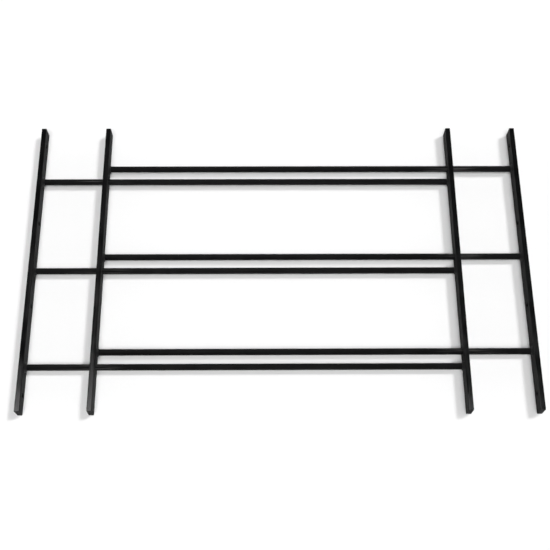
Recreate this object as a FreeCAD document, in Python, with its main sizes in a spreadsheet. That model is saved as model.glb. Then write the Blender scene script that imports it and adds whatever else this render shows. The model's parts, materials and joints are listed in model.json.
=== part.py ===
"""Window security bar: two welded steel grilles that slide through each other.

Each section is a pair of flat-bar uprights joined by three round rods. The rods of one section
pass through clearance holes in the inner upright of the other, so the pair telescopes to fit the
window and can't come apart. The outer uprights are drilled for the screws into the window frame.

Frame, in millimetres: X runs along the rods, Y along the uprights, Z out of the window plane.
The origin is at the bottom centre of the box around the whole part, as it is set here.
"""

import FreeCAD, Part
import math
import os

import Sketcher

DIMENSIONS = [
    ("upright_length", "387.35", "15 1/4 in"),
    ("upright_depth", "19.05", "3/4 in flat bar, set on edge"),
    ("upright_thickness", "6.35", "1/4 in flat bar"),
    ("edge_radius", "0.8", "rolled corner of the flat bar"),
    ("end_chamfer", "0.4", "dressed saw cut at the ends of an upright"),
    ("section_spacing", "539.75", "21 1/4 in between the centres of one section's uprights"),
    ("pull_out", "85.725", "from the centre of an outer upright to the inner one beside it"),
    ("rod_diameter", "7.9375", "5/16 in round bar"),
    ("row_pitch", "127", "5 in from one pair of rods to the next"),
    ("pair_spacing", "19.05", "3/4 in between the two rods of a pair"),
    ("slide_hole", "8.73125", "11/32 in hole that a rod slides in"),
    ("screw_hole", "6.35", "1/4 in hole for a screw into the window frame"),
    ("screw_pitch", "114.3", "4 1/2 in from one screw hole to the next"),
    ("weld_leg", "2.4", "leg of the fillet weld around a rod's end"),
    ("weld_root", "1.2", "how far behind the corner the weld's round face is centred"),
]
ROWS = {"top": 1, "middle": 0, "bottom": -1}
SCREW_STEPS = (-1.5, -0.5, 0.5, 1.5)

# Which rod of each pair a section holds: the left section has the lower one, the right the upper.
LEFT = -1
RIGHT = 1

# Where a weld's face starts between its legs, as a share of a leg, before weld_root rounds it.
CROWN = 0.6

# Centres of the uprights along X, as expressions of the sheet's cells.
OUTER_X = "(Dims.section_spacing + Dims.pull_out) / 2"
INNER_X = "(Dims.section_spacing - Dims.pull_out) / 2"
MIDDLE_DEPTH = "Dims.upright_depth / 2"

doc = FreeCAD.newDocument("WindowSecurityBar")
sheet = doc.addObject("Spreadsheet::Sheet", "Dims")
for line, (alias, size, note) in enumerate(DIMENSIONS, start=1):
    sheet.set(f"A{line}", alias)
    sheet.set(f"B{line}", size)
    sheet.set(f"C{line}", note)
    sheet.setAlias(f"B{line}", alias)
doc.recompute()


def rod_height(level, side):
    """Y of a rod, as an expression: its row, and its place above or below the middle of the pair."""
    return f"{level} * Dims.row_pitch + {side} * Dims.pair_spacing / 2"


def place(piece, x, y, z):
    """Binds a piece's position to the sheet."""
    for axis, expression in zip("xyz", (x, y, z)):
        piece.setExpression(f"Placement.Base.{axis}", expression)


def add_sketch(body, role, name):
    """A sketch on one of the body's own origin planes."""
    plane = next(item for item in body.Origin.OriginFeatures if item.Role == role)
    sketch = body.newObject("Sketcher::SketchObject", name)
    sketch.AttachmentSupport = [(plane, "")]
    sketch.MapMode = "FlatFace"
    return sketch


def measure(expression):
    """What an expression of the sheet's cells comes to now, so that a sketch starts near its end."""
    return float(sheet.evalExpression(expression))


def drive(sketch, name, expression, *constraint):
    """Adds a named size to a sketch and binds it to the sheet."""
    sketch.addConstraint(Sketcher.Constraint(*constraint, measure(expression)))
    sketch.renameConstraint(sketch.ConstraintCount - 1, name)
    sketch.setExpression(f"Constraints.{name}", expression)


def bar_section(body):
    """The flat bar's section: a rectangle centred on the origin, thickness by depth."""
    sketch = add_sketch(body, "XZ_Plane", "BarSection")
    right = measure("Dims.upright_thickness / 2")
    top = measure("Dims.upright_depth / 2")
    corners = ((-right, -top), (right, -top), (right, top), (-right, top))
    corners = [FreeCAD.Vector(x, y, 0) for x, y in corners]
    for number, corner in enumerate(corners):
        sketch.addGeometry(Part.LineSegment(corner, corners[(number + 1) % 4]), False)
    for number in range(4):
        sketch.addConstraint(Sketcher.Constraint("Coincident", number, 2, (number + 1) % 4, 1))
        direction = "Vertical" if number % 2 else "Horizontal"
        sketch.addConstraint(Sketcher.Constraint(direction, number))
    sketch.addConstraint(Sketcher.Constraint("Symmetric", 0, 1, 1, 2, -1, 1))
    drive(sketch, "thickness", "Dims.upright_thickness", "DistanceX", 0, 1, 0, 2)
    drive(sketch, "depth", "Dims.upright_depth", "DistanceY", 1, 1, 1, 2)
    return sketch


def edges_of(feature, wanted):
    """Names of the feature's edges that the test picks out."""
    numbered = enumerate(feature.Shape.Edges, start=1)
    return [f"Edge{number}" for number, edge in numbered if wanted(edge)]


def runs_along_y(edge):
    ends = edge.Vertexes
    return abs(ends[0].Y - ends[-1].Y) > measure("Dims.upright_length / 2")


def is_at_an_end(edge):
    reach = measure("Dims.upright_length / 2")
    return all(abs(abs(vertex.Y) - reach) < 1e-6 for vertex in edge.Vertexes)


def dress(body, kind, name, base, edges, size, cell):
    """A fillet or chamfer on some edges of a feature, with its size bound to the sheet."""
    feature = body.newObject(kind, name)
    feature.Base = (base, edges)
    feature.setExpression(size, cell)
    doc.recompute()
    return feature


def drill(body, name, diameter, heights):
    """Round holes right through the flat bar, along X, in the middle of its depth."""
    before = body.Shape.Volume
    radius = measure(diameter) / 2
    sketch = add_sketch(body, "YZ_Plane", f"{name}Sketch")
    for number, height in enumerate(heights):
        centre = FreeCAD.Vector(measure(height), 0, 0)
        sketch.addGeometry(Part.Circle(centre, FreeCAD.Vector(0, 0, 1), radius), False)
        sketch.addConstraint(Sketcher.Constraint("PointOnObject", number, 3, -1))
        drive(sketch, f"diameter{number}", diameter, "Diameter", number)
        drive(sketch, f"height{number}", height, "DistanceX", -1, 1, number, 3)
    pocket = body.newObject("PartDesign::Pocket", name)
    pocket.Profile = sketch
    pocket.Type = "ThroughAll"
    pocket.Midplane = True
    doc.recompute()
    expected = len(heights) * math.pi * radius**2 * measure("Dims.upright_thickness")
    if abs(before - body.Shape.Volume - expected) > 0.01 * expected:
        raise RuntimeError(f"{body.Label}: {name} didn't cut its holes")


def make_upright(name, x):
    """One flat bar on edge, with rolled corners and dressed ends, before it is drilled."""
    body = doc.addObject("PartDesign::Body", name)
    pad = body.newObject("PartDesign::Pad", "Bar")
    pad.Profile = bar_section(body)
    pad.Midplane = True
    pad.setExpression("Length", "Dims.upright_length")
    doc.recompute()
    long_edges = edges_of(pad, runs_along_y)
    rolled = dress(
        body, "PartDesign::Fillet", "RolledCorners", pad, long_edges, "Radius", "Dims.edge_radius"
    )
    end_edges = edges_of(rolled, is_at_an_end)
    dress(body, "PartDesign::Chamfer", "DressedEnds", rolled, end_edges, "Size", "Dims.end_chamfer")
    place(body, x, "0", MIDDLE_DEPTH)
    return body


def make_outer_upright(name, x):
    """The upright that is screwed to the window frame."""
    body = make_upright(name, x)
    drill(body, "ScrewHoles", "Dims.screw_hole", [f"{step} * Dims.screw_pitch" for step in SCREW_STEPS])
    return body


def make_inner_upright(name, x, side):
    """The upright at the inner end of a section: the other section's rods slide in its holes."""
    body = make_upright(name, x)
    heights = [rod_height(level, -side) for level in ROWS.values()]
    drill(body, "SlideHoles", "Dims.slide_hole", heights)
    return body


def make_rod(name, start_x, height):
    """A round bar that butts against the inner faces of its section's two uprights."""
    rod = doc.addObject("Part::Cylinder", name)
    rod.Placement.Rotation = FreeCAD.Rotation(FreeCAD.Vector(0, 1, 0), 90)
    rod.setExpression("Radius", "Dims.rod_diameter / 2")
    rod.setExpression("Height", "Dims.section_spacing - Dims.upright_thickness")
    place(rod, start_x, height, MIDDLE_DEPTH)
    return rod


def make_weld(name, face_x, height, turn):
    """A fillet weld all round a rod's end: a ring with a slightly round face, on the upright."""
    body = doc.addObject("PartDesign::Body", name)
    sketch = add_sketch(body, "XY_Plane", "BeadSection")
    leg = measure("Dims.weld_leg")
    corner = FreeCAD.Vector(0, measure("Dims.rod_diameter / 2"), 0)
    on_upright = corner + FreeCAD.Vector(0, leg, 0)
    on_rod = corner + FreeCAD.Vector(leg, 0, 0)
    crown = corner + FreeCAD.Vector(leg, leg, 0) * CROWN
    sketch.addGeometry(Part.LineSegment(corner, on_upright), False)
    sketch.addGeometry(Part.Arc(on_rod, crown, on_upright), False)
    sketch.addGeometry(Part.LineSegment(on_rod, corner), False)
    sketch.addConstraint(Sketcher.Constraint("Coincident", 0, 2, 1, 2))
    sketch.addConstraint(Sketcher.Constraint("Coincident", 1, 1, 2, 1))
    sketch.addConstraint(Sketcher.Constraint("Coincident", 2, 2, 0, 1))
    sketch.addConstraint(Sketcher.Constraint("PointOnObject", 0, 1, -2))
    sketch.addConstraint(Sketcher.Constraint("Vertical", 0))
    sketch.addConstraint(Sketcher.Constraint("Horizontal", 2))
    drive(sketch, "rod_radius", "Dims.rod_diameter / 2", "DistanceY", -1, 1, 0, 1)
    drive(sketch, "leg_on_upright", "Dims.weld_leg", "DistanceY", 0, 1, 0, 2)
    drive(sketch, "leg_on_rod", "Dims.weld_leg", "DistanceX", 0, 1, 1, 1)
    drive(sketch, "root", "Dims.weld_root", "DistanceX", 1, 3, -1, 1)
    ring = body.newObject("PartDesign::Revolution", "Bead")
    ring.Profile = sketch
    ring.ReferenceAxis = (sketch, ["H_Axis"])
    ring.Angle = 360
    body.Placement.Rotation = FreeCAD.Rotation(FreeCAD.Vector(0, 0, 1), turn)
    place(body, face_x, height, MIDDLE_DEPTH)
    return body


def make_section(name, side):
    """A welded grille: an outer and an inner upright, three rods and the welds at their ends.

    The left section reaches from the outer left upright to the inner right one, and the right
    section from the inner left upright to the outer right one.
    """
    outer_x = f"{side} * {OUTER_X}"
    inner_x = f"{-side} * {INNER_X}"
    far_name = "right" if side == LEFT else "left"
    pieces = [
        make_outer_upright(f"upright_outer_{name}", outer_x),
        make_inner_upright(f"upright_inner_{far_name}", inner_x, side),
    ]
    left_x, right_x = (outer_x, inner_x) if side == LEFT else (inner_x, outer_x)
    left_face = f"{left_x} + Dims.upright_thickness / 2"
    right_face = f"{right_x} - Dims.upright_thickness / 2"
    places = ("outer_left", "inner_right") if side == LEFT else ("inner_left", "outer_right")
    for row, level in ROWS.items():
        height = rod_height(level, side)
        pieces.append(make_rod(f"rod_{name}_section_{row}", left_face, height))
        pieces.append(make_weld(f"weld_{places[0]}_{row}", left_face, height, 0))
        pieces.append(make_weld(f"weld_{places[1]}_{row}", right_face, height, 180))
    return pieces


def write_pieces(pieces):
    """Refuses a failed object or a bad solid, then writes one STEP file for each piece."""
    for item in doc.Objects:
        if {"Invalid", "Error"} & set(item.State):
            raise RuntimeError(f"{item.Label} failed: {item.State}")
    for piece in pieces:
        if piece.Shape.isNull() or not piece.Shape.isValid() or len(piece.Shape.Solids) != 1:
            raise RuntimeError(f"{piece.Label} isn't one valid solid")
    os.makedirs("parts", exist_ok=True)
    for piece in pieces:
        piece.Shape.exportStep(f"parts/{piece.Label}.step")
        box = piece.Shape.BoundBox
        size = f"{box.XLength:.2f} x {box.YLength:.2f} x {box.ZLength:.2f}"
        print(f"{piece.Label}: {size} mm, {piece.Shape.Volume:.1f} mm3")


sections = make_section("left", LEFT) + make_section("right", RIGHT)
doc.recompute()
write_pieces(sections)
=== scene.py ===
"""Looks of the window security bar: black enamel, rippled welds and plain studio light."""

import json
import math

import bmesh
import bpy
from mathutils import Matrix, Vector, noise


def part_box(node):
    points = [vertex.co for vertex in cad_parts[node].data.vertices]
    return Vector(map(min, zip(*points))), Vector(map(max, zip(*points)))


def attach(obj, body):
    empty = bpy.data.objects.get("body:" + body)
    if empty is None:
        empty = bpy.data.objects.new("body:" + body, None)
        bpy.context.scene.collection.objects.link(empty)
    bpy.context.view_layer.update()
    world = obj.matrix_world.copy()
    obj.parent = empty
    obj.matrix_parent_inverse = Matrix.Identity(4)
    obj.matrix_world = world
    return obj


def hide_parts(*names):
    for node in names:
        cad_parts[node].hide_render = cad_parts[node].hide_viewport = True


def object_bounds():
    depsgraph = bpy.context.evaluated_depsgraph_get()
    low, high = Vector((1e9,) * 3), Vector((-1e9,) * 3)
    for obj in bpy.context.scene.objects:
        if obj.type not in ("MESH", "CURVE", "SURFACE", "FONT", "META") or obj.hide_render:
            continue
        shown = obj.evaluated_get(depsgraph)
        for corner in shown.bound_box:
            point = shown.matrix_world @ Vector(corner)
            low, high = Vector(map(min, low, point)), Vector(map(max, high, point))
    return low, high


MM = 0.001

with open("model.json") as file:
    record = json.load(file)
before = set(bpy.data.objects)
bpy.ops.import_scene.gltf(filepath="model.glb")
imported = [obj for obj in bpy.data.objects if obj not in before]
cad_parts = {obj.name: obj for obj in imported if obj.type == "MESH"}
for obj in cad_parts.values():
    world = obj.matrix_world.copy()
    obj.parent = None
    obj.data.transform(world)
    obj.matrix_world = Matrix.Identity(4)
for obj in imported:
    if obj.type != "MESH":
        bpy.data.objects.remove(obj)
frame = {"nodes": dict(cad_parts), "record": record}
cad_low, cad_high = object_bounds()
nodes = frame["nodes"]
bodies = frame["record"]["behaviour"]["bodies"]
body_of_node = {node: body for body, members in bodies.items() for node in members}

# ---------------------------------------------------------------- materials

# The enamel is mottled between its two blacks. Primer shows in the dust specks, and the others
# show through where it is rubbed thin, on edges and under a rod's guide. On the edges the worn
# colour is also a painted highlight, which lightens them.
ENAMEL_DARK = (0.0022, 0.0022, 0.0023)
ENAMEL_LIGHT = (0.0050, 0.0050, 0.0052)
PRIMER = (0.034, 0.033, 0.032)
# The worn colour on edges, which is partly a painted highlight that lightens them.
WORN_EDGE_AND_HIGHLIGHT = (0.075, 0.072, 0.070)
STEEL = (0.20, 0.195, 0.19)

# How many features of each noise fit in a metre.
CLOUDS = 9
MOTTLES = 38
PEEL_WAVES = 90
SCUFF_AND_HIGHLIGHT_PATCHES = 120
SPECKS = 620
DIMPLES = 650

# The same along X, Y and Z, for noise that is drawn out into lines on the bars.
LINES_ALONG_X = (12, 800, 800)
LINES_ALONG_Y = (800, 12, 800)
RUBBED_LINES = (14, 900, 900)

# Where a noise's values start and stop counting. Nearly all of them lie in USUAL.
USUAL = (0.3, 0.7)
MOTTLE_VALUES = (0.35, 0.65)
SCUFF_AND_HIGHLIGHT_VALUES = (0.45, 0.62)
SPECK_VALUES = (0.68, 0.75)
STREAK_VALUES = (0.52, 0.70)

# How far each noise moves the roughness up and down.
CLOUD_ROUGHNESS = 0.05
MOTTLE_ROUGHNESS = 0.04
GRAIN_ROUGHNESS = 0.05

GRAIN_DEPTH = 0.03 * MM
GRAIN_STRENGTH = 0.3
DIMPLE_DEPTH = 0.04 * MM
PEEL_DEPTH = 0.15 * MM
SPECK_STRENGTH = 0.5

# How far a rounded normal leans where an edge starts and where it is full, as a cosine.
EDGE_RADIUS = 0.6 * MM
EDGE_LEAN = (0.995, 0.80)

# How much smoother an upright's front is, and where along its rounded corners that starts and
# ends, as the normal's Z.
FRONT_POLISH = 0.71
FRONT_FACING = (0.5, 0.95)

# A rod's polished band: how far from the middle of its guide it starts to fade, and ends.
BAND_CORE = 8 * MM
BAND_END = 45 * MM
STREAK_COLOUR = 0.35
STREAK_POLISH = 0.20

PAPER_DARK = (0.86, 0.86, 0.86)
PAPER_LIGHT = (0.88, 0.88, 0.88)
PAPER_FIBRES = 300


class Graph:
    """A material's node tree, with short calls to add and join nodes."""

    def __init__(self, name):
        self.material = bpy.data.materials.new(name)
        self.material.use_nodes = True
        self.tree = self.material.node_tree
        self.shader = self.tree.nodes["Principled BSDF"]
        self.place = self.add("ShaderNodeTexCoord").outputs["Object"]

    def add(self, kind, links=None, **values):
        """Adds a node: links is what goes into its inputs, and values are its properties."""
        node = self.tree.nodes.new(kind)
        for key, value in values.items():
            setattr(node, key, value)
        for key, source in (links or {}).items():
            self.feed(node.inputs[key], source)
        return node

    def feed(self, socket, source):
        """Links or sets a socket, by what source is."""
        if isinstance(source, bpy.types.NodeSocket):
            self.tree.links.new(source, socket)
        else:
            socket.default_value = source

    def set(self, name, source):
        """Links or sets one of the shader's inputs."""
        self.feed(self.shader.inputs[name], source)

    def source(self, name):
        """What is linked to one of the shader's inputs."""
        return self.shader.inputs[name].links[0].from_socket

    def noise(self, scale, detail=3.0, stretch=(1, 1, 1)):
        """Noise from 0 to 1 in the frame's metres: scale is how many features fit in a metre."""
        mapping = self.add("ShaderNodeMapping", {"Vector": self.place, "Scale": stretch})
        links = {"Vector": mapping.outputs[0], "Scale": scale, "Detail": detail, "Roughness": 0.5}
        return self.add("ShaderNodeTexNoise", links).outputs["Fac"]

    def lines(self, stretch):
        """Noise drawn out into lines."""
        return self.noise(1.0, detail=3, stretch=stretch)

    def range(self, value, span, to_low=0.0, to_high=1.0):
        """Maps the span's two ends to to_low and to_high, smoothly and clamped."""
        links = {0: value, 1: span[0], 2: span[1], 3: to_low, 4: to_high}
        return self.add("ShaderNodeMapRange", links, interpolation_type="SMOOTHSTEP").outputs[0]

    def math(self, operation, first, second=0.0):
        return self.add("ShaderNodeMath", {0: first, 1: second}, operation=operation).outputs[0]

    def mix(self, factor, first, second):
        """Mixes two colours, each a socket or an RGB value."""
        node = self.add("ShaderNodeMix", data_type="RGBA")
        self.feed(node.inputs["Factor"], factor)
        for socket, colour in ((node.inputs[6], first), (node.inputs[7], second)):
            is_socket = isinstance(colour, bpy.types.NodeSocket)
            self.feed(socket, colour if is_socket else (*colour, 1.0))
        return node.outputs[2]

    def bump(self, height, distance, strength, under=None):
        links = {"Height": height, "Distance": distance, "Strength": strength}
        if under is not None:
            links["Normal"] = under
        return self.add("ShaderNodeBump", links).outputs[0]

    def edges(self):
        """1 on sharp edges and 0 on flats, by how far a rounded normal leans from the real one."""
        rounded = self.add("ShaderNodeBevel", {"Radius": EDGE_RADIUS}, samples=6).outputs[0]
        normal = self.add("ShaderNodeNewGeometry").outputs["Normal"]
        lean = self.add("ShaderNodeVectorMath", {0: rounded, 1: normal}, operation="DOT_PRODUCT")
        return self.range(lean.outputs["Value"], EDGE_LEAN)


def enamel(name, grain_along, roughness, specular, peel, edge_wear_and_highlight):
    """Baked black enamel over steel bar.

    It is mottled, with orange peel, dust caught in it and thin paint on the edges, whose lighter
    colour is partly a painted edge highlight. The drawn or rolled lines of the steel show through
    faintly, and grain_along is their direction.
    """
    g = Graph(name)
    mottle = g.noise(MOTTLES, detail=4)
    cloud = g.noise(CLOUDS, detail=2)
    grain = g.lines(grain_along)
    specks = g.range(g.noise(SPECKS, detail=2), SPECK_VALUES)
    colour = g.mix(g.range(mottle, MOTTLE_VALUES), ENAMEL_DARK, ENAMEL_LIGHT)
    colour = g.mix(g.math("MULTIPLY", specks, SPECK_STRENGTH), colour, PRIMER)
    # Lighter paint on edges in scuffed patches: partly wear and partly a painted edge highlight.
    scuff_and_highlight = g.math("MULTIPLY", g.edges(), g.range(g.noise(SCUFF_AND_HIGHLIGHT_PATCHES, detail=5), SCUFF_AND_HIGHLIGHT_VALUES))
    g.set("Base Color", g.mix(g.math("MULTIPLY", scuff_and_highlight, edge_wear_and_highlight), colour, WORN_EDGE_AND_HIGHLIGHT))
    rough = g.range(cloud, USUAL, roughness - CLOUD_ROUGHNESS, roughness + CLOUD_ROUGHNESS)
    for value, amount in ((mottle, MOTTLE_ROUGHNESS), (grain, GRAIN_ROUGHNESS)):
        rough = g.math("ADD", rough, g.range(value, USUAL, -amount, amount))
    g.set("Roughness", rough)
    rolled = g.bump(grain, GRAIN_DEPTH, GRAIN_STRENGTH)
    skin = g.bump(g.noise(DIMPLES, detail=2), DIMPLE_DEPTH, peel, rolled)
    g.set("Normal", g.bump(g.noise(PEEL_WAVES, detail=3), PEEL_DEPTH, peel, skin))
    g.set("Specular IOR Level", specular)
    return g


def upright_paint():
    """Dull on the wide sides, and polished by hands and cloths on the narrow front and back."""
    g = enamel(
        "upright_enamel", LINES_ALONG_Y, roughness=0.86, specular=0.30, peel=0.15, edge_wear_and_highlight=0.9
    )
    normal = g.add("ShaderNodeTexCoord").outputs["Normal"]
    facing = g.math("ABSOLUTE", g.add("ShaderNodeSeparateXYZ", {0: normal}).outputs["Z"])
    polish = g.range(facing, FRONT_FACING, 0.0, FRONT_POLISH)
    g.set("Roughness", g.math("SUBTRACT", g.source("Roughness"), polish))
    return g.material


def rod_paint(name, guide_x):
    """Enamel on a round bar, with a polished band where its guide rubs."""
    g = enamel(name, LINES_ALONG_X, roughness=0.60, specular=0.14, peel=0.4, edge_wear_and_highlight=0.0)
    x = g.add("ShaderNodeSeparateXYZ", {0: g.place}).outputs["X"]
    reach = g.math("ABSOLUTE", g.math("SUBTRACT", x, guide_x))
    band = g.range(reach, (BAND_END, BAND_CORE))
    streaks = g.math("MULTIPLY", band, g.range(g.lines(RUBBED_LINES), STREAK_VALUES))
    bare = g.math("MULTIPLY", streaks, STREAK_COLOUR)
    polish = g.math("MULTIPLY", streaks, STREAK_POLISH)
    g.set("Base Color", g.mix(bare, g.source("Base Color"), STEEL))
    g.set("Roughness", g.math("SUBTRACT", g.source("Roughness"), polish))
    return g.material


def weld_paint():
    """Enamel on a weld bead, lumpier than on the bars."""
    g = enamel("weld_enamel", LINES_ALONG_X, roughness=0.52, specular=0.35, peel=0.8, edge_wear_and_highlight=0.4)
    return g.material


def floor_paper():
    """The studio's white paper, with the faintest grain."""
    g = Graph("floor_paper")
    g.set("Base Color", g.mix(g.noise(PAPER_FIBRES, detail=2), PAPER_DARK, PAPER_LIGHT))
    g.set("Roughness", 0.9)
    g.set("Specular IOR Level", 0.1)
    return g.material


def paint(obj, material):
    obj.data.materials.clear()
    obj.data.materials.append(material)


# ---------------------------------------------------------------- welds

# The ripples round a bead: their depth, how far their middles lag as a share of one ripple, and
# how sharp they are.
RIPPLES = 22
RIPPLE_DEPTH = 0.16 * MM
RIPPLE_LAG = 0.55
RIPPLE_SHARPNESS = 1.6

# How far the middle of a bead's face swells, as a share of its size.
SWELL = 0.24

# The mesh has 8 steps to each ripple.
STEPS_AROUND = 8 * RIPPLES
STEPS_ACROSS = 12

# The hand's unsteadiness: how fast it wanders round a bead, what it does to the bead's size and to
# the ripples' places, and how far apart in the noise two beads lie.
WANDER_PACE = 1.7
WANDER_SIZE = 0.10
WANDER_PLACE = 0.35
SEED_STEP = 3.1

# How far a bead's back and bore sink into the upright and the rod, so that no gap shows.
SINK = 0.15 * MM


def bead_point(turn, across, rod_radius, leg, seed):
    """A point on the bead: distance from the upright's face and from the rod's centre line.

    across runs from 0, the toe on the rod, to 1, the toe on the upright. The face is an arc. Each
    ripple is a crescent, because the middle of the molten pool lags behind its toes.
    """
    wander = noise.noise(Vector((math.cos(turn), math.sin(turn), seed)) * WANDER_PACE)
    size = leg * (1.0 + WANDER_SIZE * wander)
    bulge = math.sin(math.pi * across)
    swell = 1.0 + SWELL * bulge
    phase = (turn / (2 * math.pi) * RIPPLES + RIPPLE_LAG * bulge + WANDER_PLACE * wander) % 1.0
    ripple = RIPPLE_DEPTH * bulge * (phase ** RIPPLE_SHARPNESS - 0.5)
    straight_out = size * (1 - across) * swell + ripple
    straight_up = size * across * swell + ripple
    return straight_out, rod_radius + straight_up


def bead_profile(turn, rod_radius, leg, seed):
    """The closed outline of the bead at one turn round the rod, sunk into the rod and upright."""
    shares = [step / STEPS_ACROSS for step in range(STEPS_ACROSS + 1)]
    face = [bead_point(turn, share, rod_radius, leg, seed) for share in shares]
    bore = rod_radius - SINK
    return [(face[0][0], bore), *face, (-SINK, face[-1][1]), (-SINK, bore)]


def make_weld(node):
    """Replaces a weld's plain ring with a closed, rippled bead that points the same way."""
    low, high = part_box(node)
    upright_is_left = "_left_" in node
    face_x = low.x if upright_is_left else high.x
    direction = 1 if upright_is_left else -1
    leg = high.x - low.x
    rod_radius = (high.z - low.z) / 2 - leg
    centre = Vector((face_x, (low.y + high.y) / 2, (low.z + high.z) / 2))
    seed = SEED_STEP * sorted(nodes).index(node)
    mesh = bmesh.new()
    rings = []
    for step in range(STEPS_AROUND):
        turn = 2 * math.pi * step / STEPS_AROUND
        ring = []
        for out, radius in bead_profile(turn, rod_radius, leg, seed):
            place = Vector((direction * out, radius * math.cos(turn), radius * math.sin(turn)))
            ring.append(mesh.verts.new(centre + place))
        rings.append(ring)
    for step, ring in enumerate(rings):
        following = rings[(step + 1) % STEPS_AROUND]
        for i in range(len(ring)):
            j = (i + 1) % len(ring)
            mesh.faces.new((ring[i], ring[j], following[j], following[i]))
    bmesh.ops.recalc_face_normals(mesh, faces=mesh.faces)
    data = bpy.data.meshes.new(f"bead_{node}")
    mesh.to_mesh(data)
    mesh.free()
    for polygon in data.polygons:
        polygon.use_smooth = True
    bead = bpy.data.objects.new(f"bead_{node}", data)
    bpy.context.collection.objects.link(bead)
    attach(bead, body_of_node[node])
    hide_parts(node)
    return bead


# ---------------------------------------------------------------- the object


def middle_x(node):
    low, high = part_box(node)
    return (low.x + high.x) / 2


paint_for = {
    "upright": upright_paint(),
    "weld": weld_paint(),
    "rod_left": rod_paint("left_rod_enamel", middle_x("upright_inner_left")),
    "rod_right": rod_paint("right_rod_enamel", middle_x("upright_inner_right")),
}
for node_name in sorted(nodes):
    if node_name.startswith("weld"):
        paint(make_weld(node_name), paint_for["weld"])
    elif node_name.startswith("upright"):
        paint(nodes[node_name], paint_for["upright"])
    else:
        paint(nodes[node_name], paint_for[f"rod_{node_name.split('_')[1]}"])

# ---------------------------------------------------------------- studio

FLOOR_SIZE = 60.0
FLOOR_CELLS = 8
FLOOR_DROP = 0.3 * MM

# The sky is bright up to one height and dim above the other, as the sine of the elevation.
HORIZON_TOP = 0.26
HORIZON_GREY = 1.0
CEILING_BOTTOM = 0.45
CEILING_GREY = 0.05

CAMERA_PLACE = (-0.0151, -0.4932, 1.1505)
CAMERA_TURN = (22.727, -0.358, -0.297)
CAMERA_LENS = 64.0
CAMERA_REACH = 200.0


def make_floor():
    mesh = bmesh.new()
    cells = {"x_segments": FLOOR_CELLS, "y_segments": FLOOR_CELLS}
    bmesh.ops.create_grid(mesh, size=FLOOR_SIZE / 2, **cells)
    data = bpy.data.meshes.new("floor")
    mesh.to_mesh(data)
    mesh.free()
    floor = bpy.data.objects.new("floor", data)
    floor.location.z = cad_low.z - FLOOR_DROP
    bpy.context.collection.objects.link(floor)
    paint(floor, floor_paper())


def make_sky():
    """White around the horizon and dim overhead, like a white room with its ceiling lights off."""
    world = bpy.data.worlds.new("studio")
    bpy.context.scene.world = world
    world.use_nodes = True
    tree = world.node_tree
    coordinates = tree.nodes.new("ShaderNodeTexCoord")
    split = tree.nodes.new("ShaderNodeSeparateXYZ")
    ramp = tree.nodes.new("ShaderNodeValToRGB")
    tree.links.new(coordinates.outputs["Generated"], split.inputs[0])
    tree.links.new(split.outputs["Z"], ramp.inputs[0])
    tree.links.new(ramp.outputs[0], tree.nodes["Background"].inputs["Color"])
    stops = ((HORIZON_TOP, HORIZON_GREY), (CEILING_BOTTOM, CEILING_GREY))
    for stop, (height, grey) in zip(ramp.color_ramp.elements, stops):
        stop.position = height
        stop.color = (grey, grey, grey, 1)


def add_sun(name, towards, spread, strength):
    """A far, broad light: towards points at it, and spread is how many degrees across it looks.

    It doesn't show in the enamel's gloss, which is left to the softbox and the sky.
    """
    light = bpy.data.lights.new(name, "SUN")
    light.angle = math.radians(spread)
    light.energy = strength
    sun = bpy.data.objects.new(name, light)
    sun.rotation_euler = (-Vector(towards)).to_track_quat("-Z", "Y").to_euler()
    sun.visible_glossy = False
    bpy.context.collection.objects.link(sun)


def add_softbox(name, low, high, height, power):
    """A long softbox that faces down and shows only in the gloss: low and high are its X and Y.

    The front faces mirror its far edge, so they shine at their near ends and are black beyond.
    """
    light = bpy.data.lights.new(name, "AREA")
    light.shape = "RECTANGLE"
    light.size = high[0] - low[0]
    light.size_y = high[1] - low[1]
    light.energy = power
    box = bpy.data.objects.new(name, light)
    box.location = ((low[0] + high[0]) / 2, (low[1] + high[1]) / 2, height)
    box.visible_diffuse = False
    box.visible_camera = False
    bpy.context.collection.objects.link(box)


def make_camera():
    """Looks down at the guard from its near side, as if standing at the bottom of the window."""
    camera = bpy.data.objects.new("camera", bpy.data.cameras.new("camera"))
    camera.location = CAMERA_PLACE
    camera.rotation_euler = [math.radians(angle) for angle in CAMERA_TURN]
    camera.data.lens = CAMERA_LENS
    camera.data.clip_end = CAMERA_REACH
    bpy.context.collection.objects.link(camera)
    bpy.context.scene.camera = camera


make_floor()
make_sky()
add_sun("key", towards=(0.62, 0.30, 1.0), spread=13, strength=1.55)
add_sun("fill", towards=(0.0, -0.42, 1.0), spread=30, strength=2.18)
add_softbox("sheen", low=(-3.0, 0.2), high=(1.42, 1.47), height=6.0, power=132)
make_camera()
bpy.context.scene.view_settings.view_transform = "Standard"
